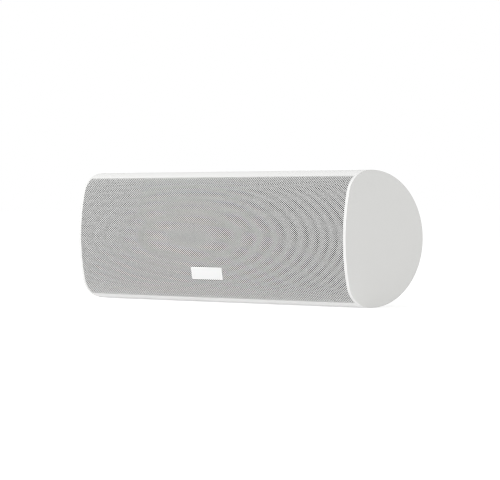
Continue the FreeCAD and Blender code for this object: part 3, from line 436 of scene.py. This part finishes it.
gauze = {
    "inset": 0.55 * millimetre,
    "margin": 1.2 * millimetre,
    "across": 90,
    "up": 48,
    # dark is the painted shade in the dips of the weave, light is the raised threads
    "dark": (0.010, 0.010, 0.011),
    "light": (0.030, 0.030, 0.032),
    "roughness": (0.85, 0.95),
    "thread": 0.00045,
    "depth": 0.0001,
    "strength": 0.6,
}


def stretchCloth():
    halfX = edgeX - gauze["margin"]
    lowest = gauze["margin"] - lowerRun
    length = upperRun - gauze["margin"] - lowest
    points = []
    faces = []
    for row in range(gauze["up"] + 1):
        run = lowest + length * row / gauze["up"]
        y, z = sectionSpot(run, gauze["inset"])[:2]
        for column in range(gauze["across"] + 1):
            points.append((halfX * (2 * column / gauze["across"] - 1), y, z))
    stride = gauze["across"] + 1
    for row in range(gauze["up"]):
        for column in range(gauze["across"]):
            corner = row * stride + column
            faces.append((corner, corner + 1, corner + 1 + stride, corner + stride))
    cloth = newPiece("grilleGauze", points, faces, clothFinish("blackGauze", gauze), True)
    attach(cloth, "cabinet")
    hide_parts("grille_cloth")


stretchCloth()
print("gauze stretched")


# Badge: small plate, left bare

badgeEnamel = {
    "dark": (0.845, 0.845, 0.843),
    "light": (0.865, 0.865, 0.863),
    "mottle": 0.02,
    "roughness": (0.28, 0.34),
    "grain": 0.0008,
    "depth": 0.00001,
    "strength": 0.15,
}
paint(grainFinish("badgeEnamel", badgeEnamel), "badge_plate")
print("badge coated")


# Feet, terminal cup and other moulded pieces

footRubber = {
    "dark": (0.016, 0.016, 0.017),
    "light": (0.030, 0.030, 0.031),
    "mottle": 0.012,
    "roughness": (0.62, 0.78),
    "grain": 0.0006,
    "depth": 0.0001,
}
cupPlastic = {
    "dark": (0.018, 0.018, 0.019),
    "light": (0.028, 0.028, 0.029),
    "mottle": 0.02,
    "roughness": (0.42, 0.55),
    "grain": 0.0005,
    "depth": 0.00008,
}
knobRed = dict(cupPlastic, dark=(0.42, 0.012, 0.012), light=(0.50, 0.018, 0.016), roughness=(0.22, 0.3))
knobBlack = dict(cupPlastic, dark=(0.014, 0.014, 0.015), light=(0.02, 0.02, 0.021), roughness=(0.22, 0.3))
paint(grainFinish("footRubber", footRubber), "left_foot", "right_foot")
paint(grainFinish("cupPlastic", cupPlastic), "terminal_cup", "tweeter_chamber")
paint(grainFinish("knobRed", knobRed), "positive_knob")
paint(grainFinish("knobBlack", knobBlack), "negative_knob")
print("moulded pieces finished")


# Metal pieces

giltBrass = {
    "dark": (0.72, 0.49, 0.19),
    "light": (0.80, 0.58, 0.27),
    "mottle": 0.006,
    "roughness": (0.2, 0.3),
    "grain": 0.0007,
    "depth": 0.00002,
    "metal": 1.0,
}
zincSteel = dict(giltBrass, dark=(0.50, 0.51, 0.52), light=(0.60, 0.60, 0.61), roughness=(0.3, 0.42))
coneAlloy = dict(giltBrass, dark=(0.60, 0.60, 0.61), light=(0.68, 0.68, 0.69), mottle=0.03,
                 roughness=(0.36, 0.46))
ribbonFoil = dict(coneAlloy, roughness=(0.24, 0.34), mottle=0.008)
gilt = grainFinish("giltBrass", giltBrass)
zinc = grainFinish("zincSteel", zincSteel)
alloy = grainFinish("coneAlloy", coneAlloy)
paint(zinc, "wall_inserts", "baffle_screws", "woofer_screws", "tweeter_screws", "post_nuts")
paint(zinc, "tweeter_pole_plate", "tweeter_yoke")
for pole in ("positive", "negative"):
    paint(gilt, pole + "_post", pole + "_clamp_ring")
for side in ("left", "right"):
    paint(zinc, side + "_top_plate", side + "_yoke")
    paint(alloy, side + "_cone", side + "_dust_cap")
paint(grainFinish("ribbonFoil", ribbonFoil), "tweeter_ribbon")
print("metal pieces finished")


# Cup screws: rounded heads with a cross recess

cupScrew = {
    "head": 3.2 * millimetre,         # radius of the head, then its height
    "rise": 2.2 * millimetre,
    "shank": 1.8 * millimetre,
    "round": 1.0 * millimetre,        # radius of the head's rounded edge
    "roundSteps": 4,
    "arm": 1.9 * millimetre,          # half length and half width of the cross
    "slot": 0.42 * millimetre,
    "depth": 1.3 * millimetre,
    "taper": 0.72,                    # floor of the cross against its mouth
}


def crossOutline(scale):
    # twelve corners, in order round the screw's axis
    arm = cupScrew["arm"] * scale
    slot = cupScrew["slot"] * scale
    corners = []
    for quarter in range(4):
        turn = math.pi / 2 * quarter
        for along, across in ((arm, -slot), (arm, slot), (slot, slot)):
            corners.append((along * math.cos(turn) - across * math.sin(turn),
                            along * math.sin(turn) + across * math.cos(turn)))
    return corners


def addScrew(points, faces, x, tip, seat, z):
    # rings from the tip of the shank up to the flat of the head, then the cross sunk into it
    top = seat + cupScrew["rise"]
    rings = [(cupScrew["shank"], tip), (cupScrew["shank"], seat), (cupScrew["head"], seat)]
    for step in range(cupScrew["roundSteps"] + 1):
        angle = math.pi / 2 * step / cupScrew["roundSteps"]
        rings.append((cupScrew["head"] - cupScrew["round"] * (1 - math.cos(angle)),
                      top - cupScrew["round"] * (1 - math.sin(angle))))
    mouthLine = crossOutline(1.0)
    corners = len(mouthLine)
    count = 2 * corners               # two sides of the head to each corner of the cross
    start = len(points)
    for radius, y in rings:
        for spot in range(count):
            angle = 2 * math.pi * spot / count
            points.append((x + radius * math.cos(angle), y, z + radius * math.sin(angle)))
    faces.append(tuple(start + spot for spot in range(count)))
    for ring in range(len(rings) - 1):
        low = start + ring * count
        for spot in range(count):
            after = (spot + 1) % count
            faces.append((low + spot, low + count + spot, low + count + after, low + after))
    flat = start + (len(rings) - 1) * count
    mouth = len(points)
    floorLine = crossOutline(cupScrew["taper"])
    for line, y in ((mouthLine, top), (floorLine, top - cupScrew["depth"])):
        points.extend((x + along, y, z + across) for along, across in line)
    for corner in range(corners):
        after = (corner + 1) % corners
        outer = [flat + (2 * corner + step - 1) % count for step in range(3)]
        faces.append((mouth + corner, mouth + after, outer[2], outer[1], outer[0]))
        faces.append((mouth + after, mouth + corner, mouth + corners + corner, mouth + corners + after))
    faces.append(tuple(mouth + corners + corner for corner in reversed(range(corners))))


def driveCupScrews():
    low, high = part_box("cup_screws")
    seat = high.y - cupScrew["rise"]
    points = []
    faces = []
    for x in (low.x + cupScrew["head"], high.x - cupScrew["head"]):
        addScrew(points, faces, x, low.y, seat, (low.z + high.z) / 2)
    screws = newPiece("cupScrews", points, faces, zinc)
    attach(screws, "cabinet")
    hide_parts("cup_screws")


driveCupScrews()
print("cup screws driven")


# Inner pieces

baffleBoard = dict(cupPlastic, mottle=0.008, roughness=(0.6, 0.8), grain=0.0012, depth=0.0002)
basketCasting = dict(cupPlastic, dark=(0.02, 0.02, 0.021), light=(0.035, 0.035, 0.036), grain=0.0009)
facePlate = dict(cupPlastic, dark=(0.03, 0.03, 0.031), light=(0.045, 0.045, 0.046), metal=0.3)
gasketFoam = dict(footRubber, dark=(0.06, 0.06, 0.062), light=(0.10, 0.10, 0.10), roughness=(0.85, 0.95))
magnetFerrite = dict(footRubber, dark=(0.05, 0.05, 0.052), light=(0.075, 0.074, 0.072),
                     roughness=(0.5, 0.65))
boardGreen = dict(cupPlastic, dark=(0.012, 0.075, 0.03), light=(0.02, 0.11, 0.045), mottle=0.015)
filmYellow = dict(cupPlastic, dark=(0.50, 0.33, 0.03), light=(0.58, 0.40, 0.05), mottle=0.01)
ceramicWhite = dict(cupPlastic, dark=(0.66, 0.64, 0.60), light=(0.74, 0.72, 0.68), roughness=(0.6, 0.75))
leadJacket = dict(cupPlastic, dark=(0.05, 0.05, 0.052), light=(0.075, 0.074, 0.075), mottle=0.006)
paint(grainFinish("baffleBoard", baffleBoard), "front_baffle")
paint(grainFinish("facePlate", facePlate), "tweeter_face")
casting = grainFinish("basketCasting", basketCasting)
foam = grainFinish("gasketFoam", gasketFoam)
ferrite = grainFinish("magnetFerrite", magnetFerrite)
for side in ("left", "right"):
    paint(casting, side + "_basket")
    paint(foam, side + "_gasket")
    paint(ferrite, side + "_magnet")
paint(ferrite, "tweeter_magnets")
paint(grainFinish("boardGreen", boardGreen), "crossover_board")
paint(grainFinish("filmYellow", filmYellow), "crossover_capacitors")
paint(grainFinish("ceramicWhite", ceramicWhite), "crossover_resistor")
paint(grainFinish("leadJacket", leadJacket), "left_woofer_lead", "right_woofer_lead", "tweeter_lead")

copperTurns = {
    # dark is the painted shade in the grooves between turns, light is the crests of the wire
    "dark": (0.30, 0.10, 0.045),
    "light": (0.62, 0.26, 0.12),
    "roughness": (0.25, 0.38),
    "wire": 0.0006,
    "axis": "Y",
    "depth": 0.0002,
    "strength": 0.8,
    "metal": 0.9,
}
paint(woundFinish("copperTurns", copperTurns), "crossover_coils", "left_voice_coil", "right_voice_coil")
print("inner pieces finished")


# Surround and spider: turned from a profile

suspension = {
    "lip": 3.0 * millimetre,
    "roll": 4.0 * millimetre,
    "rollSteps": 16,
    "skin": 0.8 * millimetre,
    "ledge": 4.0 * millimetre,
    "former": 12.9 * millimetre,      # outer radius of the coil's tube
    "waves": 7,
    "waveSteps": 8,
    "segments": 96,
}
surroundRubber = grainFinish("surroundRubber", footRubber)
spiderWeave = {
    # dark is the painted shade in the dips of the weave, light is the raised threads
    "dark": (0.32, 0.20, 0.07),
    "light": (0.52, 0.35, 0.15),
    "roughness": (0.8, 0.9),
    "thread": 0.0007,
    "depth": 0.0002,
    "strength": 0.6,
}
spiderCloth = clothFinish("spiderCloth", spiderWeave)


def turnPiece(name, profile, centre, material):
    # a closed ring turned about an axis along Y; the profile is (radius, depth)
    count = suspension["segments"]
    points = []
    faces = []
    for segment in range(count):
        angle = 2 * math.pi * segment / count
        for radius, depth in profile:
            points.append((centre.x + radius * math.cos(angle), depth, centre.z + radius * math.sin(angle)))
    size = len(profile)
    for segment in range(count):
        here = segment * size
        there = ((segment + 1) % count) * size
        for spot in range(size):
            after = (spot + 1) % size
            faces.append((here + spot, here + after, there + after, there + spot))
    return newPiece(name, points, faces, material, True)


def hangBetween(piece):
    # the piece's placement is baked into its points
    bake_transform(piece)


def surroundProfile(outer, back):
    # lip, half roll and inner lip, one skin thick
    roll = suspension["roll"]
    skin = suspension["skin"]
    middle = outer - suspension["lip"] - roll
    inner = middle - roll - suspension["lip"]
    steps = suspension["rollSteps"]
    under = [(outer, back)]
    for step in range(steps + 1):
        angle = math.pi * step / steps
        under.append((middle + roll * math.cos(angle), back - roll * math.sin(angle)))
    under.append((inner, back))
    over = [(inner, back - skin)]
    for step in range(steps + 1):
        angle = math.pi * (1 - step / steps)
        lift = max(skin, (roll + skin) * math.sin(angle))
        over.append((middle + (roll + skin) * math.cos(angle), back - lift))
    over.append((outer, back - skin))
    return under + over


def spiderProfile(inner, outer, low, high):
    # a flat ledge, then round waves down to the coil's tube
    skin = suspension["skin"]
    flat = outer - suspension["ledge"]
    rise = high - low - skin
    steps = suspension["waves"] * suspension["waveSteps"]
    upper = [(outer, high - skin)]
    for step in range(steps + 1):
        share = step / steps
        wave = abs(math.sin(math.pi * share * (suspension["waves"] + 1) / 2))
        upper.append((flat + (inner - flat) * share, high - skin - rise * wave))
    return [(radius, depth + skin) for radius, depth in upper] + upper[::-1]


def hangSurround(side):
    low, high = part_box(side + "_surround")
    centre = (low + high) / 2
    outer = (high.x - low.x) / 2
    piece = turnPiece(side + "Surround", surroundProfile(outer, high.y), centre, surroundRubber)
    hangBetween(piece)
    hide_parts(side + "_surround")


def hangSpider(side):
    low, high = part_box(side + "_spider")
    centre = (low + high) / 2
    outer = (high.x - low.x) / 2
    former = suspension["former"]
    piece = turnPiece(side + "Spider", spiderProfile(former, outer, low.y, high.y), centre, spiderCloth)
    hangBetween(piece)
    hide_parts(side + "_spider")


for side in ("left", "right"):
    hangSurround(side)
    hangSpider(side)
print("surrounds and spiders hung")


# Studio: pale floor, even room light, a large soft lamp in front and a weak one beside the right end

floorLook = {
    "half": 30.0,
    "colour": (0.8, 0.8, 0.8),
    "glow": 0.25,                     # light from the floor itself, as from a light table
    "whiteGlow": 0.53,                # what the camera and mirrors see of it
}
roomLight = {"colour": (0.614, 0.614, 0.610)}
keyLamp = {
    "from": (-0.9, -2.4, 1.7),
    "width": 2.2,
    "height": 1.4,
    "power": 42.0,
    "colour": (1.0, 1.0, 1.0),
}
sideLamp = {
    "from": (2.7, 0.5, 0.3),
    "width": 1.6,
    "height": 1.6,
    "power": 1.8,
    "colour": (1.0, 0.98, 0.6),
}


def seenDirectly(tree):
    # 1 for what the camera, a mirror or a glass shows
    path = tree.nodes.new("ShaderNodeLightPath")
    total = path.outputs["Is Camera Ray"]
    for name in ("Is Glossy Ray", "Is Transmission Ray"):
        larger = tree.nodes.new("ShaderNodeMath")
        larger.operation = "MAXIMUM"
        tree.links.new(total, larger.inputs[0])
        tree.links.new(path.outputs[name], larger.inputs[1])
        total = larger.outputs["Value"]
    return total


def layFloor():
    material = bpy.data.materials.new("paleFloor")
    material.use_nodes = True
    tree = material.node_tree
    tree.nodes.remove(tree.nodes["Principled BSDF"])
    matt = tree.nodes.new("ShaderNodeBsdfDiffuse")
    matt.inputs["Color"].default_value = (*floorLook["colour"], 1)
    lights = []
    for strength in (floorLook["glow"], floorLook["whiteGlow"]):
        light = tree.nodes.new("ShaderNodeEmission")
        light.inputs["Strength"].default_value = strength
        lights.append(light)
    either = tree.nodes.new("ShaderNodeMixShader")
    tree.links.new(seenDirectly(tree), either.inputs["Fac"])
    tree.links.new(lights[0].outputs["Emission"], either.inputs[1])
    tree.links.new(lights[1].outputs["Emission"], either.inputs[2])
    both = tree.nodes.new("ShaderNodeAddShader")
    tree.links.new(matt.outputs["BSDF"], both.inputs[0])
    tree.links.new(either.outputs["Shader"], both.inputs[1])
    tree.links.new(both.outputs["Shader"], tree.nodes["Material Output"].inputs["Surface"])
    half = floorLook["half"]
    corners = [(-half, -half, 0), (half, -half, 0), (half, half, 0), (-half, half, 0)]
    floor = newPiece("floor", corners, [(0, 1, 2, 3)], material)


def lightRoom():
    world = bpy.data.worlds.new("room")
    bpy.context.scene.world = world
    world.use_nodes = True
    tree = world.node_tree
    soft = tree.nodes["Background"]
    soft.inputs["Color"].default_value = (*roomLight["colour"], 1)
    white = tree.nodes.new("ShaderNodeBackground")
    white.inputs["Color"].default_value = (1, 1, 1, 1)
    either = tree.nodes.new("ShaderNodeMixShader")
    tree.links.new(seenDirectly(tree), either.inputs["Fac"])
    tree.links.new(soft.outputs["Background"], either.inputs[1])
    tree.links.new(white.outputs["Background"], either.inputs[2])
    tree.links.new(either.outputs["Shader"], tree.nodes["World Output"].inputs["Surface"])


def hangLamp(name, look):
    data = bpy.data.lights.new(name, "AREA")
    data.shape = "RECTANGLE"
    data.size = look["width"]
    data.size_y = look["height"]
    data.energy = look["power"]
    data.color = look["colour"]
    lamp = bpy.data.objects.new(name, data)
    lamp.location = look["from"]
    aim = Vector((0, axisY, axisZ)) - lamp.location
    lamp.rotation_mode = "QUATERNION"
    lamp.rotation_quaternion = aim.to_track_quat("-Z", "Y")
    bpy.context.scene.collection.objects.link(lamp)


layFloor()
lightRoom()
hangLamp("keyLamp", keyLamp)
hangLamp("sideLamp", sideLamp)
print("studio lit")


# Camera at the photograph's viewing angle

viewpoint = {
    "aim": (0.0, 0.00715, 0.0669),
    "azimuth": 50.61,
    "elevation": 0.69,
    "distance": 3.2471,
    "lens": 217.2,
    "sensor": 36.0,
}


def placeCamera():
    data = bpy.data.cameras.new("camera")
    data.lens = viewpoint["lens"]
    data.sensor_width = viewpoint["sensor"]
    camera = bpy.data.objects.new("camera", data)
    turn = math.radians(viewpoint["azimuth"])
    lift = math.radians(viewpoint["elevation"])
    back = Vector((math.sin(turn) * math.cos(lift), -math.cos(turn) * math.cos(lift), math.sin(lift)))
    camera.location = Vector(viewpoint["aim"]) + back * viewpoint["distance"]
    camera.rotation_mode = "QUATERNION"
    camera.rotation_quaternion = (-back).to_track_quat("-Z", "Y")
    bpy.context.scene.collection.objects.link(camera)
    bpy.context.scene.camera = camera


placeCamera()
bpy.context.scene.cycles.pixel_filter_type = "BOX"      # as crisp as the photograph's fine holes
bpy.context.scene.view_settings.view_transform = "Standard"
